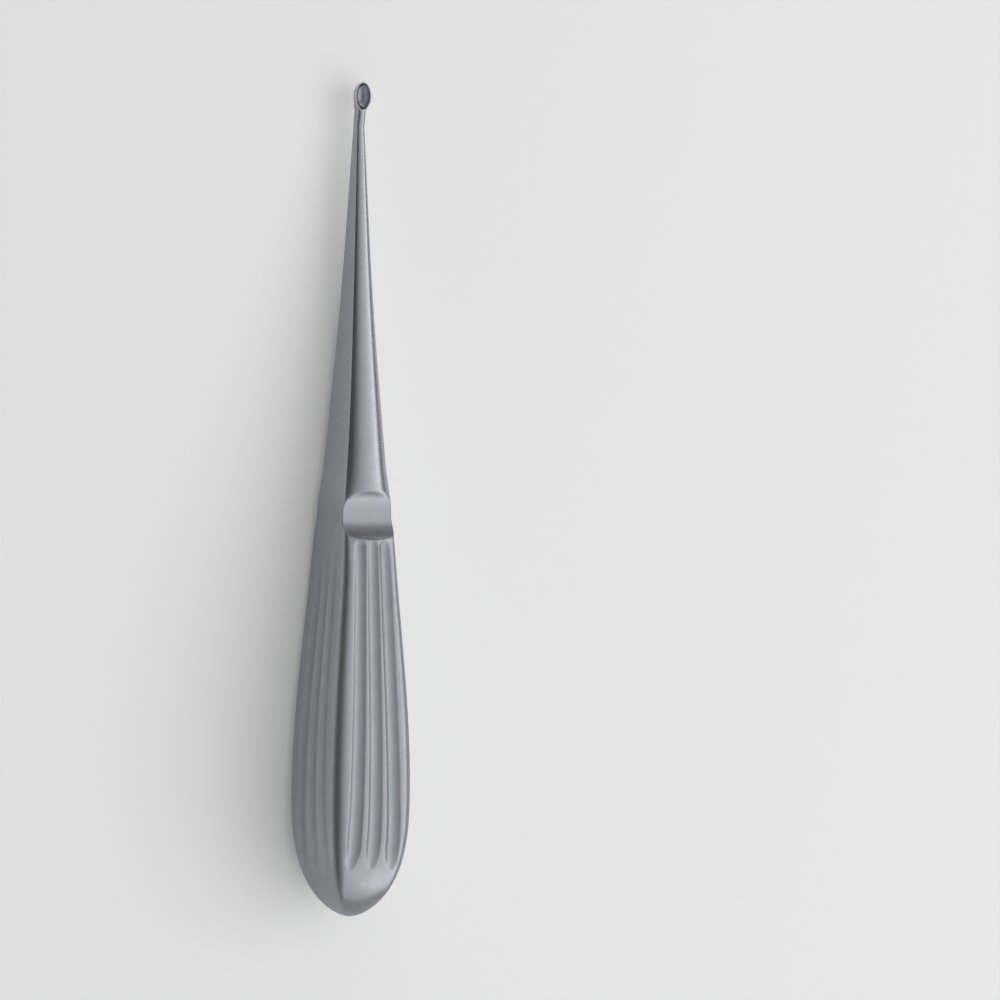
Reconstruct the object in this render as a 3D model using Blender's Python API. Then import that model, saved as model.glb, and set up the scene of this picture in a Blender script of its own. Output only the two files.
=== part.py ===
"""Bone curette: a one-piece stainless steel hand instrument with a small sharp oval cup.

A fluted handle swells to a belly and ends in a rounded butt. A dished thumb rest is pressed
into its front and its back, just above the flutes. From there a flat-sided shaft with a domed
front and back tapers to a thin neck, which carries the cup.

The tool is modelled along its own axis: the butt at y = 0, the cup at the far end of +Y, the
cup's opening towards +Z. It is then laid on its back, as it comes to rest on a table, where the
belly and the neck touch the table. The origin is under its middle, on the table.
"""

import math

import bmesh
import bpy
import numpy as np

MM = 0.001

# Lengths along the tool, from the butt to the tip of the cup
OVERALL_LENGTH = 170.0 * MM
BUTT_ROUNDING_LENGTH = 26.0 * MM
FLUTES_FROM_BUTT = 9.8 * MM
FLUTE_LENGTH = 66.9 * MM
FLUTES_TO_THUMB_REST = 0.2 * MM
THUMB_REST_LENGTH = 10.2 * MM
FLARE_LENGTH = 6.0 * MM
NECK_LENGTH = 3.5 * MM
CUP_LENGTH = 5.9 * MM

# Widths across the flat sides and depths from front to back
BELLY_WIDTH, BELLY_DEPTH = 18.5 * MM, 21.0 * MM
HANDLE_TOP_WIDTH, HANDLE_TOP_DEPTH = 11.9 * MM, 16.0 * MM
THUMB_REST_WIDTH, THUMB_REST_DEPTH = 11.3 * MM, 15.5 * MM
SHAFT_FOOT_WIDTH, SHAFT_FOOT_DEPTH = 8.9 * MM, 13.7 * MM
SHAFT_MIDDLE_WIDTH, SHAFT_MIDDLE_DEPTH = 4.5 * MM, 7.3 * MM
NECK_WIDTH, NECK_DEPTH = 1.65 * MM, 2.45 * MM

# Cross-section: how far the front stands proud of its edges, and how round the edges are
HANDLE_CROWN = 0.3 * MM
HANDLE_EDGE_SHARE = 0.32  # of the half width
SHAFT_CROWN_SHARE = 0.45  # of the half width, so the dome keeps its shape down the taper
SHAFT_EDGE_SHARE = 0.10  # of the half width

# Butt: the power curve of its outline, and how its section rounds off, as shares of the half width
BUTT_FULLNESS = 2.7
BUTT_POINT = 0.56
BUTT_CROWN_SHARE = 0.25
BUTT_EDGE_SHARE = 0.35

# Flutes: three on each of the four faces, fanning out towards the butt
FLUTE_PITCH_AT_TOP = 2.75 * MM
FLUTE_PITCH_AT_BUTT = 4.65 * MM
FLUTE_WIDTH_AT_TOP = 2.6 * MM
FLUTE_WIDTH_AT_BUTT = 3.45 * MM
FLUTE_SINK_AT_TOP = 0.42 * MM
FLUTE_SINK_AT_BUTT = 0.6 * MM
FLUTE_ROUND_AT_TOP = 1.4 * MM
SIDE_FLUTE_SHARE = 0.6  # of the front's sink: the side flutes are shallower
SIDE_FLUTE_FADE = 14.0 * MM  # and deepen over this length below the thumb rest
FLUTE_POINT_AT_BUTT = 5.5 * MM

# Thumb rests: what stays between the two dished floors
THUMB_REST_WAIST = 10.6 * MM

# Cup
CUP_WIDTH = 3.75 * MM
CUP_DEPTH = 2.45 * MM
RIM_ABOVE_AXIS = 1.75 * MM
RIM_THICKNESS = 0.27 * MM
CUP_FLOOR_THICKNESS = 0.45 * MM

# Satin stainless steel
STEEL_COLOUR = (0.62, 0.64, 0.67, 1.0)
STEEL_ROUGHNESS = 0.36

# Places along the tool that follow from the sizes above
BELLY = BUTT_ROUNDING_LENGTH
FLUTES_END = FLUTES_FROM_BUTT + FLUTE_LENGTH
THUMB_REST_START = FLUTES_END + FLUTES_TO_THUMB_REST
THUMB_REST_MIDDLE = THUMB_REST_START + THUMB_REST_LENGTH / 2
THUMB_REST_END = THUMB_REST_START + THUMB_REST_LENGTH
SHAFT_FOOT = THUMB_REST_END + FLARE_LENGTH
CUP_START = OVERALL_LENGTH - CUP_LENGTH
CUP_MIDDLE = CUP_START + CUP_LENGTH / 2
NECK = CUP_START - NECK_LENGTH
SHAFT_MIDDLE = (SHAFT_FOOT + NECK) / 2

# Mesh: steps across each flute, round each edge and along each stretch
FLUTE_STEPS = 4
EDGE_STEPS = 3
BUTT_STEPS = (0.004, 0.02, 0.055, 0.11, 0.18, 0.27)
FLUTE_END_STEPS = (0.01, 0.07, 0.2, 0.42, 0.7, 1.0)
BELLY_STEPS = 2
HANDLE_STEPS = 6
THUMB_REST_STEPS = 4
FLARE_STEPS = 3
SHAFT_STEPS = 9
NECK_STEPS = 3
CUP_STEPS = 7


def smooth_through(places, sizes):
    """A curve through the given sizes that never overshoots between two of them."""
    x, y = np.array(places), np.array(sizes)
    steps = np.diff(x)
    rises = np.diff(y) / steps
    slopes = np.zeros(len(x))
    for i in range(1, len(x) - 1):
        if rises[i - 1] * rises[i] > 0:
            before = 2 * steps[i] + steps[i - 1]
            after = steps[i] + 2 * steps[i - 1]
            slopes[i] = (before + after) / (before / rises[i - 1] + after / rises[i])
    slopes[-1] = rises[-1]

    def at(place):
        i = int(np.clip(np.searchsorted(x, place) - 1, 0, len(steps) - 1))
        t = min(max((place - x[i]) / steps[i], 0.0), 1.0)
        return float(
            (1 + 2 * t) * (1 - t) ** 2 * y[i]
            + t * (1 - t) ** 2 * steps[i] * slopes[i]
            + t * t * (3 - 2 * t) * y[i + 1]
            + t * t * (t - 1) * steps[i] * slopes[i + 1]
        )

    return at


def ease(place, start, end):
    """0 before the start, 1 after the end, and a soft step between them."""
    t = min(max((place - start) / (end - start), 0.0), 1.0)
    return t * t * (3 - 2 * t)


def blend(first, second, share):
    return first + (second - first) * share


STATIONS = (BELLY, FLUTES_END, THUMB_REST_MIDDLE, SHAFT_FOOT, SHAFT_MIDDLE, NECK)
width_at = smooth_through(
    STATIONS,
    (
        BELLY_WIDTH,
        HANDLE_TOP_WIDTH,
        THUMB_REST_WIDTH,
        SHAFT_FOOT_WIDTH,
        SHAFT_MIDDLE_WIDTH,
        NECK_WIDTH,
    ),
)
depth_at = smooth_through(
    STATIONS,
    (
        BELLY_DEPTH,
        HANDLE_TOP_DEPTH,
        THUMB_REST_DEPTH,
        SHAFT_FOOT_DEPTH,
        SHAFT_MIDDLE_DEPTH,
        NECK_DEPTH,
    ),
)


def butt_share(y):
    """How much of the belly's width and depth the rounded butt has at y."""
    from_belly = max(BELLY - y, 0.0) / BUTT_ROUNDING_LENGTH
    return (1 - from_belly**BUTT_FULLNESS) ** BUTT_POINT


def section_at(y):
    """Half width, half depth, crown height and edge radius of the body at y."""
    half_width = width_at(y) / 2 * butt_share(y)
    half_depth = depth_at(y) / 2 * butt_share(y)
    shaft = ease(y, THUMB_REST_START - THUMB_REST_LENGTH, SHAFT_FOOT)
    full, closing = butt_share(y), 1 - butt_share(y)
    handle_crown = HANDLE_CROWN * full + BUTT_CROWN_SHARE * half_width * closing
    handle_radius = half_width * (HANDLE_EDGE_SHARE * full + BUTT_EDGE_SHARE * closing**2)
    crown = blend(handle_crown, SHAFT_CROWN_SHARE * half_width, shaft)
    radius = blend(handle_radius, SHAFT_EDGE_SHARE * half_width, shaft)
    return half_width, half_depth, crown, min(radius, 0.8 * half_width)


def flute_at(y, along_flat):
    """Pitch, half width and sink of the flutes at y, on a face that is flat this far out."""
    place = min(max(y, FLUTES_FROM_BUTT), FLUTES_END)
    share = (place - FLUTES_FROM_BUTT) / FLUTE_LENGTH
    pitch = blend(FLUTE_PITCH_AT_BUTT, FLUTE_PITCH_AT_TOP, share)
    half_width = blend(FLUTE_WIDTH_AT_BUTT, FLUTE_WIDTH_AT_TOP, share) / 2
    sink = blend(FLUTE_SINK_AT_BUTT, FLUTE_SINK_AT_TOP, share)
    if y < FLUTES_FROM_BUTT or y > FLUTES_END:
        # Past the flutes the mesh lines spread out again and follow the face inwards.
        beyond = max(FLUTES_FROM_BUTT - y, y - FLUTES_END)
        fit = along_flat(y) / along_flat(place)
        pitch *= fit
        half_width *= fit * max(0.1, ease(beyond, 0.0, 2 * FLUTE_ROUND_AT_TOP))
        sink = 0.0
    else:
        ends = 1.0
        for from_end, length in (
            (y - FLUTES_FROM_BUTT, FLUTE_POINT_AT_BUTT),
            (FLUTES_END - y, FLUTE_ROUND_AT_TOP),
        ):
            if from_end < length:
                ends = math.sqrt(1 - (1 - from_end / length) ** 2)
        half_width *= max(ends, 0.1)
        sink *= ends * ends
    # The outer flutes keep clear of the rounded edge where the face narrows.
    pitch = min(pitch, 0.98 * along_flat(y) - half_width)
    return pitch, min(half_width, 0.48 * pitch), sink


def crown_arc(half_width, crown, radius):
    """The front's arc radius, and the angle at which it runs into the rounded edge."""
    arc = (half_width**2 + crown**2) / (2 * crown)
    return arc, math.asin((half_width - radius) / (arc - radius))


def front_flat(y):
    half_width, _, crown, radius = section_at(y)
    arc, angle = crown_arc(half_width, crown, radius)
    return arc * math.sin(angle)


def side_flat(y):
    half_width, half_depth, crown, radius = section_at(y)
    arc, angle = crown_arc(half_width, crown, radius)
    return half_depth - arc + (arc - radius) * math.cos(angle)


def quarter(y):
    """One quarter of the cross-section, from the middle of the front to the middle of the side."""
    half_width, half_depth, crown, radius = section_at(y)
    arc, angle = crown_arc(half_width, crown, radius)
    pitch, half_flute, sink = flute_at(y, front_flat)
    side_pitch, half_side_flute, side_sink = flute_at(y, side_flat)
    side_sink *= SIDE_FLUTE_SHARE * ease(FLUTES_END - y, -FLUTE_ROUND_AT_TOP, SIDE_FLUTE_FADE)
    across = np.linspace(-1, 1, FLUTE_STEPS + 1)
    half_across = across[FLUTE_STEPS // 2 :]
    points = []

    def front(x, below):
        points.append((x, half_depth - arc + math.sqrt(arc * arc - x * x) - below))

    for share in half_across:
        front(share * half_flute, sink * (1 - share**2))
    for share in across:
        front(pitch + share * half_flute, sink * (1 - share**2))
    edge_middle = half_depth - arc + (arc - radius) * math.cos(angle)
    for turn in np.linspace(angle, math.pi / 2, EDGE_STEPS + 1):
        points.append(
            (
                half_width - radius + radius * math.sin(turn),
                edge_middle + radius * math.cos(turn),
            )
        )
    for share in across[::-1]:
        points.append(
            (half_width - side_sink * (1 - share**2), side_pitch + share * half_side_flute)
        )
    for share in half_across[::-1]:
        points.append((half_width - side_sink * (1 - share**2), share * half_side_flute))
    return points


def half_ring(y):
    """The right half of the body's cross-section, from the front's middle to the back's middle."""
    front = quarter(y)
    return front + [(x, -z) for x, z in front[-2::-1]]


def cup_half_width(y):
    """Half the rim's width at y: an ellipse that grows out of the neck."""
    from_middle = min(abs(y - CUP_MIDDLE) / (CUP_LENGTH / 2), 1.0)
    rim = CUP_WIDTH / 2 * math.sqrt(1 - from_middle**2)
    if y > CUP_MIDDLE:
        return rim
    return (rim**4 + (NECK_WIDTH / 2) ** 4 * (1 - ease(y, CUP_START, CUP_MIDDLE))) ** 0.25


def cup_below_rim(y):
    """How far the bowl's underside is below the rim at y."""
    if y > CUP_MIDDLE:
        return CUP_DEPTH * math.sqrt(1 - ((y - CUP_MIDDLE) / (CUP_LENGTH / 2)) ** 2)
    return blend(NECK_DEPTH / 2 + RIM_ABOVE_AXIS, CUP_DEPTH, ease(y, NECK, CUP_MIDDLE))


def cup_half_ring(y):
    """The right half of the section from the neck to the tip: the neck's form turns into the bowl's."""
    to_rim = ease(y, NECK, CUP_START + RIM_THICKNESS)
    to_bowl = ease(y, CUP_START - NECK_LENGTH / 4, CUP_START + 0.4 * CUP_LENGTH)
    top = blend(NECK_DEPTH / 2, RIM_ABOVE_AXIS, to_rim)
    bottom = RIM_ABOVE_AXIS - cup_below_rim(y)
    half_width = cup_half_width(y)
    neck = half_ring(NECK)
    edge = FLUTE_STEPS // 2 + 1 + FLUTE_STEPS + 1
    points = []
    for i, (x, z) in enumerate(neck):
        neck_x = x / (NECK_WIDTH / 2) * half_width
        neck_z = blend(bottom, top, 0.5 + z / NECK_DEPTH)
        if i < edge:
            bowl_x, bowl_z = x / neck[edge][0] * half_width, top
        else:
            turn = math.pi / 2 * (i - edge) / (len(neck) - 1 - edge)
            bowl_x = half_width * math.cos(turn)
            bowl_z = top - (top - bottom) * math.sin(turn)
        points.append((blend(neck_x, bowl_x, to_bowl), blend(neck_z, bowl_z, to_bowl)))
    return points


def places_along():
    """Where the cross-sections are taken, closer together where the form turns quickly."""
    places = [BUTT_ROUNDING_LENGTH * share for share in BUTT_STEPS]
    places += [
        FLUTES_FROM_BUTT + share * FLUTE_POINT_AT_BUTT for share in FLUTE_END_STEPS
    ]
    places += list(np.linspace(places[-1], BELLY, BELLY_STEPS + 1)[1:])
    end = FLUTES_END - FLUTE_ROUND_AT_TOP
    places += list(np.linspace(BELLY, end, HANDLE_STEPS + 1)[1:-1])
    places += [
        FLUTES_END - share * FLUTE_ROUND_AT_TOP for share in FLUTE_END_STEPS[::-1]
    ]
    places += list(
        np.linspace(THUMB_REST_START, THUMB_REST_END, THUMB_REST_STEPS + 1)
    )
    places += list(np.linspace(THUMB_REST_END, SHAFT_FOOT, FLARE_STEPS + 1)[1:])
    places += list(np.linspace(SHAFT_FOOT, NECK, SHAFT_STEPS + 1)[1:])
    places += list(np.linspace(NECK, CUP_START, NECK_STEPS + 1)[1:])
    turns = np.linspace(0, math.pi, 2 * CUP_STEPS + 1)[1:-1]
    places += [CUP_MIDDLE - CUP_LENGTH / 2 * math.cos(turn) for turn in turns]
    return places


def body_mesh():
    """The whole body as one loft through its cross-sections, closed at the butt and at the tip."""
    bm = bmesh.new()
    rings = []
    for y in places_along():
        half = half_ring(y) if y <= NECK else cup_half_ring(y)
        ring = half + [(-x, z) for x, z in half[-2:0:-1]]
        rings.append([bm.verts.new((x, y, z)) for x, z in ring])
    butt = bm.verts.new((0, 0, 0))
    tip = bm.verts.new((0, OVERALL_LENGTH, RIM_ABOVE_AXIS))
    count = len(rings[0])
    for ring, following in zip(rings, rings[1:]):
        for i in range(count):
            j = (i + 1) % count
            bm.faces.new((ring[i], following[i], following[j], ring[j]))
    for i in range(count):
        j = (i + 1) % count
        bm.faces.new((butt, rings[0][i], rings[0][j]))
        bm.faces.new((tip, rings[-1][j], rings[-1][i]))
    bmesh.ops.recalc_face_normals(bm, faces=bm.faces)
    mesh = bpy.data.meshes.new("curette")
    bm.to_mesh(mesh)
    bm.free()
    return mesh


def resting_slope(points):
    """The slope of the table under the tool: the lower edge of its side view that its weight is over."""
    lowest = {}
    for x, y, z in points:
        lowest[round(y, 7)] = min(z, lowest.get(round(y, 7), z))
    hull = []
    for point in sorted(lowest.items()):
        while len(hull) > 1:
            (y0, z0), (y1, z1) = hull[-2:]
            if (y1 - y0) * (point[1] - z0) > (z1 - z0) * (point[0] - y0):
                break
            hull.pop()
        hull.append(point)
    balance = (BELLY + THUMB_REST_START) / 2
    for (y0, z0), (y1, z1) in zip(hull, hull[1:]):
        if y0 <= balance <= y1:
            return math.atan2(z1 - z0, y1 - y0)
    return 0.0


def new_object(name, mesh, collection, parent):
    obj = bpy.data.objects.new(name, mesh)
    collection.objects.link(obj)
    obj.parent = parent
    return obj


def thumb_rest_cutter(name, side, collection, parent):
    """A round bar across the tool whose curve is the dished floor of one thumb rest."""
    rise = (THUMB_REST_DEPTH - THUMB_REST_WAIST) / 2
    radius = ((THUMB_REST_LENGTH / 2) ** 2 + rise**2) / (2 * rise)
    bm = bmesh.new()
    bmesh.ops.create_cone(
        bm,
        cap_ends=True,
        segments=96,
        radius1=radius,
        radius2=radius,
        depth=2 * THUMB_REST_WIDTH,
    )
    mesh = bpy.data.meshes.new(name)
    bm.to_mesh(mesh)
    bm.free()
    cutter = new_object(name, mesh, collection, parent)
    cutter.rotation_euler = (0, math.pi / 2, 0)
    cutter.location = (0, THUMB_REST_MIDDLE, side * (THUMB_REST_WAIST / 2 + radius))
    return cutter


def cup_cutter(name, collection, parent):
    """An ellipsoid centred in the plane of the rim: its lower half is the hollow of the cup."""
    bm = bmesh.new()
    bmesh.ops.create_uvsphere(bm, u_segments=36, v_segments=18, radius=1.0)
    bmesh.ops.scale(
        bm,
        vec=(
            CUP_WIDTH / 2 - RIM_THICKNESS,
            CUP_LENGTH / 2 - RIM_THICKNESS,
            CUP_DEPTH - CUP_FLOOR_THICKNESS,
        ),
        verts=bm.verts,
    )
    mesh = bpy.data.meshes.new(name)
    bm.to_mesh(mesh)
    bm.free()
    cutter = new_object(name, mesh, collection, parent)
    cutter.location = (0, CUP_MIDDLE, RIM_ABOVE_AXIS)
    return cutter


def cut(obj, cutter):
    cutter.hide_render = True
    cutter.display_type = "WIRE"
    modifier = obj.modifiers.new("cut " + cutter.name, "BOOLEAN")
    modifier.operation = "DIFFERENCE"
    modifier.solver = "EXACT"
    modifier.object = cutter


def steel():
    material = bpy.data.materials.new("satin_stainless_steel")
    material.use_nodes = True
    shader = material.node_tree.nodes["Principled BSDF"]
    shader.inputs["Base Color"].default_value = STEEL_COLOUR
    shader.inputs["Metallic"].default_value = 1.0
    shader.inputs["Roughness"].default_value = STEEL_ROUGHNESS
    material.diffuse_color = STEEL_COLOUR
    return material


def main():
    for obj in list(bpy.data.objects):
        bpy.data.objects.remove(obj, do_unlink=True)
    parts = bpy.data.collections.new("bone curette")
    cutters = bpy.data.collections.new("cutters")
    bpy.context.scene.collection.children.link(parts)
    bpy.context.scene.collection.children.link(cutters)

    # The tool's own axis, laid down so that the belly and the neck touch the table
    mesh = body_mesh()
    points = [vertex.co for vertex in mesh.vertices]
    slope = resting_slope(points)
    along = [y * math.cos(slope) + z * math.sin(slope) for _, y, z in points]
    above = [z * math.cos(slope) - y * math.sin(slope) for _, y, z in points]
    axis = bpy.data.objects.new("tool_axis", None)
    parts.objects.link(axis)
    axis.rotation_euler = (-slope, 0, 0)
    axis.location = (0, -(min(along) + max(along)) / 2, -min(above))

    curette = new_object("curette", mesh, parts, axis)
    mesh.materials.append(steel())
    cut(curette, thumb_rest_cutter("front_thumb_rest_cutter", 1, cutters, axis))
    cut(curette, thumb_rest_cutter("back_thumb_rest_cutter", -1, cutters, axis))
    cut(curette, cup_cutter("cup_cutter", cutters, axis))
    mesh.shade_smooth()
    mesh.set_sharp_from_angle(angle=math.radians(20))


main()
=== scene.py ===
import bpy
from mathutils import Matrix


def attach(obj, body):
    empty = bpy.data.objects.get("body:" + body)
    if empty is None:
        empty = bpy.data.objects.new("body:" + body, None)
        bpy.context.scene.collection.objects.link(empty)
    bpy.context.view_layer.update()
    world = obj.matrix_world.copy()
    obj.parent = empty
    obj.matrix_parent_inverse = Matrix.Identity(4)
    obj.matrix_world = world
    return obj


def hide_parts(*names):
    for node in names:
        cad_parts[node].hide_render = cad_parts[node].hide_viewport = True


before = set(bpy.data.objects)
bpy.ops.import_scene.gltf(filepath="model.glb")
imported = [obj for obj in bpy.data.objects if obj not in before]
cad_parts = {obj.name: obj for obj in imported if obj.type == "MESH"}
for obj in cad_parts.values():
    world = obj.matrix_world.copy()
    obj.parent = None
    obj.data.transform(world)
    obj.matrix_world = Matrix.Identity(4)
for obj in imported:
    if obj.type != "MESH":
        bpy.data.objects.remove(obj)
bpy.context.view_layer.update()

import math

import bmesh
import bpy
import numpy as np
from mathutils import Matrix, Vector

# The curette lies on its back on the table, its butt towards the viewer and the cup's mouth up.
# Its long axis slopes down a little towards the cup, because the handle tapers. Every size is
# measured along and across the tool, from the butt.
MM = 0.001
OVERALL_LENGTH = 170.0 * MM
REST_SLOPE = 0.0585273
BUTT_POINT_AT_REST = Vector((0, -84.9056 * MM, 12.5332 * MM))
ACROSS = Vector((1, 0, 0))
ALONG = Vector((0, math.cos(REST_SLOPE), -math.sin(REST_SLOPE)))
FRONT = Vector((0, math.sin(REST_SLOPE), math.cos(REST_SLOPE)))


def tool_matrix():
    """From the tool's own frame, butt at zero and cup at the far end of +Y, to where it lies."""
    turn = Matrix((ACROSS, ALONG, FRONT)).transposed().to_4x4()
    return Matrix.Translation(BUTT_POINT_AT_REST) @ turn


# The camera looks down on the front from the tool's left, far enough off to draw it almost
# without perspective. It leans a hair, as the tool does in the photograph.
VIEW_TURN = math.radians(30)
VIEW_LEAN = math.radians(0.7)
VIEW_WIDTH = 203.8 * MM
LENS = 300.0
SENSOR = 36.0
AIM_ALONG = 85.2 * MM
AIM_RIGHT = 29.7 * MM

towards_camera = -math.sin(VIEW_TURN) * ACROSS + math.cos(VIEW_TURN) * FRONT
level_right = math.cos(VIEW_TURN) * ACROSS + math.sin(VIEW_TURN) * FRONT
image_up = math.cos(VIEW_LEAN) * ALONG - math.sin(VIEW_LEAN) * level_right
image_right = math.cos(VIEW_LEAN) * level_right + math.sin(VIEW_LEAN) * ALONG
aim = BUTT_POINT_AT_REST + AIM_ALONG * ALONG + AIM_RIGHT * level_right
camera = bpy.data.objects.new("camera", bpy.data.cameras.new("camera"))
camera.data.lens = LENS
camera.data.sensor_width = SENSOR
camera.data.clip_start = 10 * MM
camera.matrix_world = Matrix.Translation(
    aim + towards_camera * VIEW_WIDTH * LENS / SENSOR
) @ Matrix((image_right, image_up, towards_camera)).transposed().to_4x4()
bpy.context.scene.collection.objects.link(camera)
bpy.context.scene.camera = camera
bpy.context.scene.view_settings.view_transform = "Standard"

# The body is forged and ground from one bar of stainless steel: a fluted handle that swells to
# a belly, a flat-sided shaft that tapers to a neck, and the blank of the cup. It is drawn here
# as one skin through close cross-sections, each face of the handle with its three flutes.
BUTT_ROUNDING = 26.0 * MM
FLUTES_FROM_BUTT = 9.8 * MM
FLUTE_LENGTH = 66.9 * MM
LAND_OVER_FLUTES = 0.2 * MM
THUMB_REST_LENGTH = 10.2 * MM
THUMB_REST_DEPTH = 15.5 * MM
FLARE_LENGTH = 6.0 * MM
NECK_LENGTH = 3.5 * MM
CUP_LENGTH = 5.9 * MM
BELLY = BUTT_ROUNDING
FLUTES_END = FLUTES_FROM_BUTT + FLUTE_LENGTH
THUMB_REST_START = FLUTES_END + LAND_OVER_FLUTES
THUMB_REST_MIDDLE = THUMB_REST_START + THUMB_REST_LENGTH / 2
THUMB_REST_END = THUMB_REST_START + THUMB_REST_LENGTH
SHAFT_FOOT = THUMB_REST_END + FLARE_LENGTH
CUP_START = OVERALL_LENGTH - CUP_LENGTH
CUP_MIDDLE = CUP_START + CUP_LENGTH / 2
NECK = CUP_START - NECK_LENGTH
SHAFT_MIDDLE = (SHAFT_FOOT + NECK) / 2
BOWL_GROWS_FROM = CUP_START - NECK_LENGTH / 4
BOWL_FULL_AT = CUP_START + 0.4 * CUP_LENGTH

NECK_WIDTH, NECK_DEPTH = 1.65 * MM, 2.45 * MM
CUP_WIDTH, CUP_DEPTH = 3.75 * MM, 2.45 * MM
RIM_ABOVE_AXIS = 1.75 * MM
RIM_THICKNESS = 0.27 * MM

BUTT_FULLNESS = 2.7
BUTT_POINT = 0.56
HANDLE_CROWN = 0.3 * MM
HANDLE_EDGE_SHARE = 0.32
BUTT_CROWN_SHARE, BUTT_EDGE_SHARE = 0.25, 0.35
SHAFT_CROWN_SHARE, SHAFT_EDGE_SHARE = 0.45, 0.10
MOST_EDGE_SHARE = 0.8

FLUTE_PITCH = (4.65 * MM, 2.75 * MM)
FLUTE_WIDTH = (3.45 * MM, 2.6 * MM)
FLUTE_SINK = (0.6 * MM, 0.42 * MM)
FLUTE_POINT_AT_BUTT = 5.5 * MM
FLUTE_ROUND_AT_TOP = 1.4 * MM
SIDE_FLUTE_SHARE = 0.6
SIDE_FLUTE_FADE = 14.0 * MM
THINNEST_FLUTE_SHARE = 0.1
FLAT_FOR_FLUTES = 0.98
MOST_OF_PITCH = 0.48
CREST_ROUNDING = 0.09 * MM


def smooth_through(places, sizes):
    """A curve through the given sizes that never overshoots between two of them."""
    x, y = np.array(places), np.array(sizes)
    steps = np.diff(x)
    rises = np.diff(y) / steps
    slopes = np.zeros(len(x))
    for i in range(1, len(x) - 1):
        if rises[i - 1] * rises[i] > 0:
            before = 2 * steps[i] + steps[i - 1]
            after = steps[i] + 2 * steps[i - 1]
            slopes[i] = (before + after) / (before / rises[i - 1] + after / rises[i])
    slopes[-1] = rises[-1]

    def at(place):
        i = int(np.clip(np.searchsorted(x, place) - 1, 0, len(steps) - 1))
        t = min(max((place - x[i]) / steps[i], 0.0), 1.0)
        return float(
            (1 + 2 * t) * (1 - t) ** 2 * y[i]
            + t * (1 - t) ** 2 * steps[i] * slopes[i]
            + t * t * (3 - 2 * t) * y[i + 1]
            + t * t * (t - 1) * steps[i] * slopes[i + 1]
        )

    return at


def ease(place, start, end):
    """0 before the start, 1 after the end, and a soft step between them."""
    t = min(max((place - start) / (end - start), 0.0), 1.0)
    return t * t * (3 - 2 * t)


def blend(first, second, share):
    return first + (second - first) * share


# The place along the tool, the width and the depth, from the belly to the neck.
STATIONS = (
    (BELLY, 18.5 * MM, 21.0 * MM),
    (FLUTES_END, 11.9 * MM, 16.0 * MM),
    (THUMB_REST_MIDDLE, 11.3 * MM, THUMB_REST_DEPTH),
    (SHAFT_FOOT, 8.9 * MM, 13.7 * MM),
    (SHAFT_MIDDLE, 4.5 * MM, 7.3 * MM),
    (NECK, NECK_WIDTH, NECK_DEPTH),
)
station_places, station_widths, station_depths = zip(*STATIONS)
width_at = smooth_through(station_places, station_widths)
depth_at = smooth_through(station_places, station_depths)


def butt_share(y):
    from_belly = max(BELLY - y, 0.0) / BUTT_ROUNDING
    return (1 - from_belly**BUTT_FULLNESS) ** BUTT_POINT


def section_at(y):
    """Half width, half depth, crown height and edge radius of the body at y."""
    full = butt_share(y)
    half_width = width_at(y) / 2 * full
    half_depth = depth_at(y) / 2 * full
    shaft = ease(y, THUMB_REST_START - THUMB_REST_LENGTH, SHAFT_FOOT)
    handle_crown = HANDLE_CROWN * full + BUTT_CROWN_SHARE * half_width * (1 - full)
    handle_radius = half_width * (HANDLE_EDGE_SHARE * full + BUTT_EDGE_SHARE * (1 - full) ** 2)
    crown = blend(handle_crown, SHAFT_CROWN_SHARE * half_width, shaft)
    radius = blend(handle_radius, SHAFT_EDGE_SHARE * half_width, shaft)
    return half_width, half_depth, crown, min(radius, MOST_EDGE_SHARE * half_width)


def crown_arc(half_width, crown, radius):
    """The front's arc radius, and the angle at which it runs into the rounded edge."""
    arc = (half_width**2 + crown**2) / (2 * crown)
    return arc, math.asin((half_width - radius) / (arc - radius))


def front_flat(y):
    half_width, _, crown, radius = section_at(y)
    arc, angle = crown_arc(half_width, crown, radius)
    return arc * math.sin(angle)


def side_flat(y):
    half_width, half_depth, crown, radius = section_at(y)
    arc, angle = crown_arc(half_width, crown, radius)
    return half_depth - arc + (arc - radius) * math.cos(angle)


def flute_at(y, along_flat):
    """Pitch, half width and sink of the flutes at y, on a face that is flat this far out."""
    place = min(max(y, FLUTES_FROM_BUTT), FLUTES_END)
    share = (place - FLUTES_FROM_BUTT) / FLUTE_LENGTH
    pitch = blend(*FLUTE_PITCH, share)
    half_width = blend(*FLUTE_WIDTH, share) / 2
    sink = blend(*FLUTE_SINK, share)
    if y < FLUTES_FROM_BUTT or y > FLUTES_END:
        beyond = max(FLUTES_FROM_BUTT - y, y - FLUTES_END)
        fit = along_flat(y) / along_flat(place)
        pitch *= fit
        half_width *= fit * max(THINNEST_FLUTE_SHARE, ease(beyond, 0.0, 2 * FLUTE_ROUND_AT_TOP))
        sink = 0.0
    else:
        ends = 1.0
        for from_end, length in (
            (y - FLUTES_FROM_BUTT, FLUTE_POINT_AT_BUTT),
            (FLUTES_END - y, FLUTE_ROUND_AT_TOP),
        ):
            if from_end < length:
                ends = math.sqrt(1 - (1 - from_end / length) ** 2)
        half_width *= max(ends, THINNEST_FLUTE_SHARE)
        sink *= ends * ends
    pitch = min(pitch, FLAT_FOR_FLUTES * along_flat(y) - half_width)
    return pitch, min(half_width, MOST_OF_PITCH * pitch), sink


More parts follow.
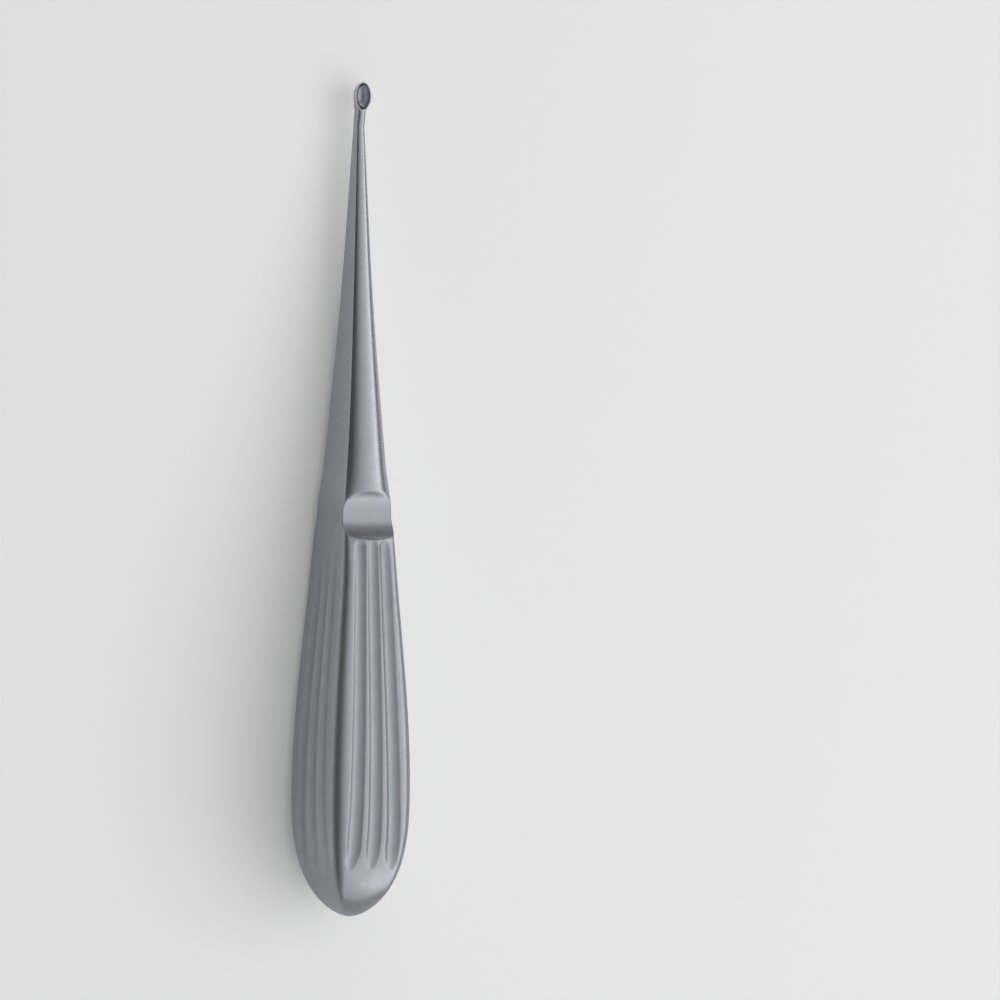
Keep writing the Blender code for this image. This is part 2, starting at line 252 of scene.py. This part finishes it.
# Where the skin's lines run across a flute, in half widths from its middle. They crowd at the
# crests.
ACROSS_FLUTE = (-1.035, -1.015, -1.0, -0.96, -0.88, -0.7, -0.48, -0.24)
ACROSS_FLUTE += (0.0,) + tuple(-u for u in ACROSS_FLUTE[::-1])
HALF_FLUTE = ACROSS_FLUTE[len(ACROSS_FLUTE) // 2 :]
EDGE_STEPS = 10


def sunk(u, sink):
    """How far the flute lies below its face, u half widths from its middle, with eased crests."""
    depth = sink * (1 - u * u)
    return 0.5 * (depth + math.hypot(depth, min(CREST_ROUNDING, sink / 4)))


def quarter(y):
    """One quarter of the cross-section, from the middle of the front to the middle of the side."""
    half_width, half_depth, crown, radius = section_at(y)
    arc, angle = crown_arc(half_width, crown, radius)
    pitch, half_flute, sink = flute_at(y, front_flat)
    side_pitch, half_side, side_sink = flute_at(y, side_flat)
    side_sink *= SIDE_FLUTE_SHARE * ease(FLUTES_END - y, -FLUTE_ROUND_AT_TOP, SIDE_FLUTE_FADE)
    points = []
    for middle, us in ((0.0, HALF_FLUTE), (pitch, ACROSS_FLUTE)):
        for u in us:
            x = middle + u * half_flute
            front = half_depth - arc + math.sqrt(arc * arc - x * x)
            points.append((x, front - sunk(u, sink)))
    edge_middle = half_depth - arc + (arc - radius) * math.cos(angle)
    for turn in np.linspace(angle, math.pi / 2, EDGE_STEPS + 1):
        points.append(
            (
                half_width - radius + radius * math.sin(turn),
                edge_middle + radius * math.cos(turn),
            )
        )
    for middle, us in ((side_pitch, ACROSS_FLUTE[::-1]), (0.0, HALF_FLUTE[::-1])):
        for u in us:
            points.append((half_width - sunk(u, side_sink), middle + u * half_side))
    return points


def half_ring(y):
    front = quarter(y)
    return front + [(x, -z) for x, z in front[-2::-1]]


def cup_half_width(y):
    """Half the rim's width at y: an ellipse that grows out of the neck."""
    from_middle = min(abs(y - CUP_MIDDLE) / (CUP_LENGTH / 2), 1.0)
    rim = CUP_WIDTH / 2 * math.sqrt(1 - from_middle**2)
    if y > CUP_MIDDLE:
        return rim
    return (rim**4 + (NECK_WIDTH / 2) ** 4 * (1 - ease(y, CUP_START, CUP_MIDDLE))) ** 0.25


def cup_below_rim(y):
    """How far the bowl's underside is below the rim at y."""
    if y > CUP_MIDDLE:
        return CUP_DEPTH * math.sqrt(1 - ((y - CUP_MIDDLE) / (CUP_LENGTH / 2)) ** 2)
    return blend(NECK_DEPTH / 2 + RIM_ABOVE_AXIS, CUP_DEPTH, ease(y, NECK, CUP_MIDDLE))


def cup_half_ring(y):
    """The right half of the section from neck to tip: the neck's form turns into the bowl's."""
    to_rim = ease(y, NECK, CUP_START + RIM_THICKNESS)
    to_bowl = ease(y, BOWL_GROWS_FROM, BOWL_FULL_AT)
    top = blend(NECK_DEPTH / 2, RIM_ABOVE_AXIS, to_rim)
    bottom = RIM_ABOVE_AXIS - cup_below_rim(y)
    half_width = cup_half_width(y)
    neck = half_ring(NECK)
    edge = len(HALF_FLUTE) + len(ACROSS_FLUTE)
    points = []
    for i, (x, z) in enumerate(neck):
        neck_x = x / (NECK_WIDTH / 2) * half_width
        neck_z = blend(bottom, top, 0.5 + z / NECK_DEPTH)
        if i < edge:
            bowl_x, bowl_z = x / neck[edge][0] * half_width, top
        else:
            turn = math.pi / 2 * (i - edge) / (len(neck) - 1 - edge)
            bowl_x = half_width * math.cos(turn)
            bowl_z = top - (top - bottom) * math.sin(turn)
        points.append((blend(neck_x, bowl_x, to_bowl), blend(neck_z, bowl_z, to_bowl)))
    return points


def even(start, end, steps):
    """Even places after the start, up to the end."""
    return list(np.linspace(start, end, steps + 1)[1:])


BUTT_CROWDING = 2.2


def places_along():
    """Where the cross-sections are taken, closer together where the form turns quickly."""
    shares = even(0, 1, steps=30)
    places = [FLUTES_FROM_BUTT * share**BUTT_CROWDING for share in shares]
    places += [FLUTES_FROM_BUTT + FLUTE_POINT_AT_BUTT * share**2 for share in shares]
    places += even(places[-1], BELLY, steps=18)
    places += even(BELLY, FLUTES_END - FLUTE_ROUND_AT_TOP, steps=70)
    places += [FLUTES_END - FLUTE_ROUND_AT_TOP * share**2 for share in even(1, 0, steps=20)]
    places += even(FLUTES_END, THUMB_REST_END, steps=40)
    places += even(THUMB_REST_END, SHAFT_FOOT, steps=16)
    places += even(SHAFT_FOOT, NECK, steps=66)
    places += even(NECK, CUP_START, steps=16)
    turns = even(0, math.pi, steps=44)[:-1]
    places += [CUP_MIDDLE - CUP_LENGTH / 2 * math.cos(turn) for turn in turns]
    return places


def body_mesh():
    """The skin from butt to tip, closed with a point at each end."""
    rings = []
    for y in places_along():
        half = half_ring(y) if y <= NECK else cup_half_ring(y)
        rings.append([(x, y, z) for x, z in half + [(-x, z) for x, z in half[-2:0:-1]]])
    count = len(rings[0])
    points = [(0, 0, 0)] + [point for ring in rings for point in ring]
    points.append((0, OVERALL_LENGTH, RIM_ABOVE_AXIS))
    faces = []
    for i in range(count):
        j = (i + 1) % count
        faces.append((0, 1 + i, 1 + j))
        for ring in range(len(rings) - 1):
            a = 1 + ring * count
            faces.append((a + i, a + count + i, a + count + j, a + j))
        last = 1 + (len(rings) - 1) * count
        faces.append((len(points) - 1, last + j, last + i))
    mesh = bpy.data.meshes.new("curette_skin")
    mesh.from_pydata(points, [], faces)
    bm = bmesh.new()
    bm.from_mesh(mesh)
    bmesh.ops.recalc_face_normals(bm, faces=bm.faces)
    bm.to_mesh(mesh)
    bm.free()
    return mesh


def place(name, mesh):
    obj = bpy.data.objects.new(name, mesh)
    bpy.context.scene.collection.objects.link(obj)
    return obj


def cut(obj, cutter):
    """Cuts one body out of another for good, and takes the cutter away."""
    modifier = obj.modifiers.new("cut", "BOOLEAN")
    modifier.operation = "DIFFERENCE"
    modifier.solver = "EXACT"
    modifier.object = cutter
    bpy.context.view_layer.update()
    graph = bpy.context.evaluated_depsgraph_get()
    mesh = bpy.data.meshes.new_from_object(obj.evaluated_get(graph))
    obj.modifiers.clear()
    obj.data = mesh
    bpy.data.objects.remove(cutter)


curette = place("curette_fine", body_mesh())

# A thumb rest is milled across the front and the back of the bar just above the flutes, with a
# round cutter, which leaves a dish with a lip at each end.
THUMB_REST_WAIST = 10.6 * MM
MILL_FACETS = 360

rise = (THUMB_REST_DEPTH - THUMB_REST_WAIST) / 2
mill_radius = ((THUMB_REST_LENGTH / 2) ** 2 + rise**2) / (2 * rise)
for side in (1, -1):
    bm = bmesh.new()
    bmesh.ops.create_cone(
        bm,
        cap_ends=True,
        segments=MILL_FACETS,
        radius1=mill_radius,
        radius2=mill_radius,
        depth=2 * THUMB_REST_DEPTH,
        matrix=Matrix.Translation(
            (0, THUMB_REST_MIDDLE, side * (THUMB_REST_WAIST / 2 + mill_radius))
        )
        @ Matrix.Rotation(math.pi / 2, 4, "Y"),
    )
    mesh = bpy.data.meshes.new("mill")
    bm.to_mesh(mesh)
    bm.free()
    cut(curette, place("mill", mesh))

# The cup is the bar's own end, hollowed with a ball-ended cutter, so that its rim is thin and
# sharp all round.
CUP_FLOOR = 0.45 * MM
BALL_FACETS = 96

bm = bmesh.new()
bmesh.ops.create_uvsphere(
    bm, u_segments=BALL_FACETS, v_segments=BALL_FACETS // 2, radius=1.0
)
bmesh.ops.scale(
    bm,
    vec=(
        CUP_WIDTH / 2 - RIM_THICKNESS,
        CUP_LENGTH / 2 - RIM_THICKNESS,
        CUP_DEPTH - CUP_FLOOR,
    ),
    verts=bm.verts,
)
bmesh.ops.translate(bm, vec=(0, CUP_MIDDLE, RIM_ABOVE_AXIS), verts=bm.verts)
mesh = bpy.data.meshes.new("ball")
bm.to_mesh(mesh)
bm.free()
cut(curette, place("ball", mesh))

# The steel is blasted with fine glass beads to a satin finish that throws no glare: a close grain
# of shallow dimples. Handling burnishes it a little, and the flutes' floors and the butt's sides
# and end are painted darker as shade.
STEEL_BRIGHT = (0.424, 0.436, 0.478, 1.0)
STEEL_DULL_AND_SHADED = (0.315, 0.334, 0.366, 1.0)
DULL_ROUGHNESS = 0.48
BRIGHT_ROUGHNESS = 0.24
GRAIN_LOW, GRAIN_HIGH = 0.3, 0.7
DIMPLES_PER_METRE = 5200.0
DIMPLE_DEPTH = 0.02 * MM
DIMPLE_STRENGTH = 0.22
DIMPLE_SPECKLE = 0.2
CLOUDS_PER_METRE = 420.0
CLOUD_MOTTLE = 0.1
BROKEN_EDGE_SAMPLES = 6


def grain(tree, per_metre, detail, roughness):
    """A grain that lies in the steel, with so many spots to the metre."""
    where = tree.nodes.new("ShaderNodeTexCoord")
    node = tree.nodes.new("ShaderNodeTexNoise")
    node.inputs["Scale"].default_value = per_metre
    node.inputs["Detail"].default_value = detail
    node.inputs["Roughness"].default_value = roughness
    tree.links.new(where.outputs["Object"], node.inputs["Vector"])
    return node.outputs["Fac"]


def spread(tree, value, most):
    """The grain's usual range, brought to run from minus this to plus this."""
    node = tree.nodes.new("ShaderNodeMapRange")
    node.inputs["From Min"].default_value = GRAIN_LOW
    node.inputs["From Max"].default_value = GRAIN_HIGH
    node.inputs["To Min"].default_value = -most
    node.inputs["To Max"].default_value = most
    tree.links.new(value, node.inputs["Value"])
    return node.outputs["Result"]


def worked_out(tree, operation, first, second):
    """The sum or the greater of two values, as the operation says."""
    node = tree.nodes.new("ShaderNodeMath")
    node.operation = operation
    tree.links.new(first, node.inputs[0])
    tree.links.new(second, node.inputs[1])
    return node


def carried(tree, name):
    """The value of this name that the mesh's points carry."""
    node = tree.nodes.new("ShaderNodeAttribute")
    node.attribute_name = name
    return node.outputs["Fac"]


satin = bpy.data.materials.new("satin_stainless_steel")
satin.use_nodes = True
tree = satin.node_tree
shader = tree.nodes["Principled BSDF"]
shader.inputs["Metallic"].default_value = 1.0
dimples = grain(tree, DIMPLES_PER_METRE, detail=2.0, roughness=0.6)
clouds = grain(tree, CLOUDS_PER_METRE, detail=4.0, roughness=0.55)

# How bright: from the painted shade on the flutes' floors and the butt's sides and end to the
# burnished places, mottled by the blasting.
mottle = spread(tree, clouds, CLOUD_MOTTLE)
speckle = spread(tree, dimples, DIMPLE_SPECKLE)
blasting = worked_out(tree, "ADD", mottle, speckle)
# The carried value is the burnish, with painted shade on the flutes' floors and the butt's sides
# and end.
burnish_and_shade = worked_out(tree, "ADD", carried(tree, "burnish_and_painted_shade"), blasting.outputs["Value"])
burnish_and_shade.use_clamp = True
colour = tree.nodes.new("ShaderNodeMix")
colour.data_type = "RGBA"
colour.inputs["A"].default_value = STEEL_DULL_AND_SHADED
colour.inputs["B"].default_value = STEEL_BRIGHT
tree.links.new(burnish_and_shade.outputs["Value"], colour.inputs["Factor"])
tree.links.new(colour.outputs["Result"], shader.inputs["Base Color"])

# How smooth: the burnished places throw a tighter light than the blasted hollows.
finish = tree.nodes.new("ShaderNodeMapRange")
finish.inputs["To Min"].default_value = DULL_ROUGHNESS
finish.inputs["To Max"].default_value = BRIGHT_ROUGHNESS
tree.links.new(burnish_and_shade.outputs["Value"], finish.inputs["Value"])
tree.links.new(finish.outputs["Result"], shader.inputs["Roughness"])

# The blasting also breaks every edge a hair, which draws a fine line round each cut.
broken_edge = tree.nodes.new("ShaderNodeBevel")
broken_edge.samples = BROKEN_EDGE_SAMPLES
tree.links.new(carried(tree, "edge_break"), broken_edge.inputs["Radius"])
bump = tree.nodes.new("ShaderNodeBump")
bump.inputs["Strength"].default_value = DIMPLE_STRENGTH
bump.inputs["Distance"].default_value = DIMPLE_DEPTH
tree.links.new(dimples, bump.inputs["Height"])
tree.links.new(broken_edge.outputs["Normal"], bump.inputs["Normal"])
tree.links.new(bump.outputs["Normal"], shader.inputs["Normal"])
curette.data.materials.clear()
curette.data.materials.append(satin)

# How burnished each place is, and how much shade is painted on the flutes' floors and the butt.
PLAIN_BURNISH = 0.45
SHAFT_BURNISH = 0.35
PALM_BURNISH = 0.25
BUTT_PAINTED_SHADE = 0.45
FLUTE_PAINTED_SHADE = 0.3
LEAST_SINK = 0.1 * MM
# The butt's sides past these shares of its half width, and its end, are painted darker as shade.
BUTT_SHADE_SIDE_SHARES = (0.75, 0.95)
BUTT_SHADE_END = (1.5 * MM, 4.0 * MM)


def burnish_and_painted_shade_at(x, y, z):
    """How burnished the steel is at a point, and where shade is painted: dull at 0 and below,
    bright at 1.

    It is painted darkest on the flutes' floors and on the butt's sides and end, as painted shade,
    brighter where the palm rubs the butt, and brightest along the shaft. At the very end the
    section closes to a point.
    """
    if y > FLUTES_END:
        return PLAIN_BURNISH + SHAFT_BURNISH * ease(y, THUMB_REST_MIDDLE, THUMB_REST_END)
    half_width, half_depth, crown, radius = section_at(y)
    if half_width == 0:
        # The butt's very end is painted darker, as shade.
        return PLAIN_BURNISH - BUTT_PAINTED_SHADE
    arc, _ = crown_arc(half_width, crown, radius)
    sink = max(flute_at(y, front_flat)[2], LEAST_SINK)
    front = half_depth - arc + math.sqrt(max(arc * arc - x * x, 0.0))
    below = min(front - abs(z), half_width - abs(x))
    near_butt = 1 - ease(y, FLUTES_FROM_BUTT / 2, 1.5 * FLUTES_FROM_BUTT)
    # The butt's sides and end are painted darker, as shade, and its front is brighter where the
    # palm rubs.
    butt_shade_share = max(ease(abs(x) / half_width, *BUTT_SHADE_SIDE_SHARES), 1 - ease(y, *BUTT_SHADE_END))
    palm_rub_and_butt_shade = near_butt * blend(PALM_BURNISH, -BUTT_PAINTED_SHADE, butt_shade_share)
    # The flutes' floors are painted darker, as shade in the hollows.
    return PLAIN_BURNISH + palm_rub_and_butt_shade - FLUTE_PAINTED_SHADE * min(max(below / sink, 0.0), 1.0)


EDGE_BREAK = 0.14 * MM
RIM_BREAK = 0.07 * MM
REST_BREAK, REST_BREAK_REACH = 0.42 * MM, 1.5 * MM
UPPER_LIP_BREAK, UPPER_LIP_REACH = 1.1 * MM, 2.2 * MM


def edge_break_at(y):
    """How far an edge is broken: most on a thumb rest's upper lip, least on the cup's rim."""
    if y > NECK:
        return RIM_BREAK
    if abs(y - THUMB_REST_END) < UPPER_LIP_REACH:
        return UPPER_LIP_BREAK
    from_rest = abs(y - THUMB_REST_MIDDLE) - THUMB_REST_LENGTH / 2
    return REST_BREAK if from_rest < REST_BREAK_REACH else EDGE_BREAK


def carry(mesh, name, values):
    """Gives each point of the mesh its value under this name."""
    mesh.attributes.new(name, "FLOAT", "POINT").data.foreach_set("value", values)


points = np.empty(3 * len(curette.data.vertices))
curette.data.vertices.foreach_get("co", points)
points = points.reshape(-1, 3)
# Each point carries its burnish and the painted shade of the flutes' floors and the butt.
carry(curette.data, "burnish_and_painted_shade", [burnish_and_painted_shade_at(*point) for point in points])
carry(curette.data, "edge_break", [edge_break_at(y) for _, y, _ in points])

# The points are then turned to where the tool lies, and the skin is shaded smooth up to the cuts.
SHARPEST_SMOOTH = math.radians(24)

curette.data.transform(tool_matrix())
curette.data.shade_smooth()
curette.data.set_sharp_from_angle(angle=SHARPEST_SMOOTH)
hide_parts("curette")
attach(curette, "root")

# The table is a plain pale sheet, wide enough to fill every view. It is matt, and the tool lies
# loose on it.
TABLE_WIDTH = 6.0
TABLE_COLOUR = (0.93, 0.93, 0.93, 1.0)
TABLE_ROUGHNESS = 0.9
SHEET_LIFT = 0.14

bm = bmesh.new()
bmesh.ops.create_grid(bm, x_segments=1, y_segments=1, size=TABLE_WIDTH / 2)
mesh = bpy.data.meshes.new("table")
bm.to_mesh(mesh)
bm.free()
table = place("table", mesh)
paper = bpy.data.materials.new("pale_table")
paper.use_nodes = True
tree = paper.node_tree
shader = tree.nodes["Principled BSDF"]
shader.inputs["Base Color"].default_value = TABLE_COLOUR
shader.inputs["Roughness"].default_value = TABLE_ROUGHNESS
shader.inputs["Emission Color"].default_value = (1, 1, 1, 1)

# It is lifted a little towards white, both where it is seen and where it shows in the steel.
ray = tree.nodes.new("ShaderNodeLightPath").outputs
seen = worked_out(tree, "MAXIMUM", ray["Is Camera Ray"], ray["Is Glossy Ray"])
shows = worked_out(tree, "MAXIMUM", seen.outputs["Value"], ray["Is Transmission Ray"])
lift = tree.nodes.new("ShaderNodeMath")
lift.operation = "MULTIPLY"
lift.inputs[1].default_value = SHEET_LIFT
tree.links.new(shows.outputs["Value"], lift.inputs[0])
tree.links.new(lift.outputs["Value"], shader.inputs["Emission Strength"])
table.data.materials.append(paper)

# Long soft lamps hang in an arch over the tool, side by side along it, and brighten from its left
# to its right. They reach further past the butt than past the tip. One more lamp stands low
# beyond each end, and the room itself is dim.
ALONG_TABLE = Vector((0, 1, 0))
UPRIGHT = Vector((0, 0, 1))
STRIP_DISTANCE = 1.5
STRIP_WIDTH, STRIP_LENGTH = 0.44, 2.5
STRIP_SLIDE = -0.25
END_LAMP_DISTANCE, END_LAMP_WIDTH = 1.9, 1.8
ROOM_BRIGHTNESS = 0.1
# Each strip's lean to the right in degrees, and its brightness.
STRIPS = (
    (-34, 0.2),
    (-18, 0.48),
    (-2, 0.62),
    (14, 0.74),
    (30, 0.9),
    (46, 1.15),
    (62, 1.8),
)


def soft_lamp(name, towards, distance, width, height, brightness, upright, slide=0.0):
    """A lamp that hangs in that direction and faces the tool, slid along its upright side."""
    data = bpy.data.lights.new(name, "AREA")
    data.shape = "RECTANGLE"
    data.size = width
    data.size_y = height
    data.energy = brightness * math.pi * width * height
    lamp = bpy.data.objects.new(name, data)
    away = Vector(towards).normalized()
    right = upright.cross(away).normalized()
    lamp.matrix_world = (
        Matrix.Translation(away * distance + upright * slide)
        @ Matrix((right, away.cross(right), away)).transposed().to_4x4()
    )
    bpy.context.scene.collection.objects.link(lamp)


def end_lamp(name, towards, height, brightness):
    """A lamp that stands beyond one end of the tool."""
    soft_lamp(name, towards, END_LAMP_DISTANCE, END_LAMP_WIDTH, height, brightness, UPRIGHT)


for number, (lean, brightness) in enumerate(STRIPS):
    soft_lamp(
        name=f"strip_{number}",
        towards=(math.sin(math.radians(lean)), 0.0, math.cos(math.radians(lean))),
        distance=STRIP_DISTANCE,
        width=STRIP_WIDTH,
        height=STRIP_LENGTH,
        brightness=brightness,
        upright=ALONG_TABLE,
        slide=STRIP_SLIDE,
    )
end_lamp("butt_lamp", towards=(0.25, -1.0, 0.5), height=0.9, brightness=0.75)
end_lamp("tip_lamp", towards=(0.0, 1.0, 0.6), height=1.1, brightness=0.65)

world = bpy.data.worlds.new("room")
bpy.context.scene.world = world
world.use_nodes = True
room = world.node_tree.nodes["Background"]
room.inputs["Color"].default_value = (1, 1, 1, 1)
room.inputs["Strength"].default_value = ROOM_BRIGHTNESS
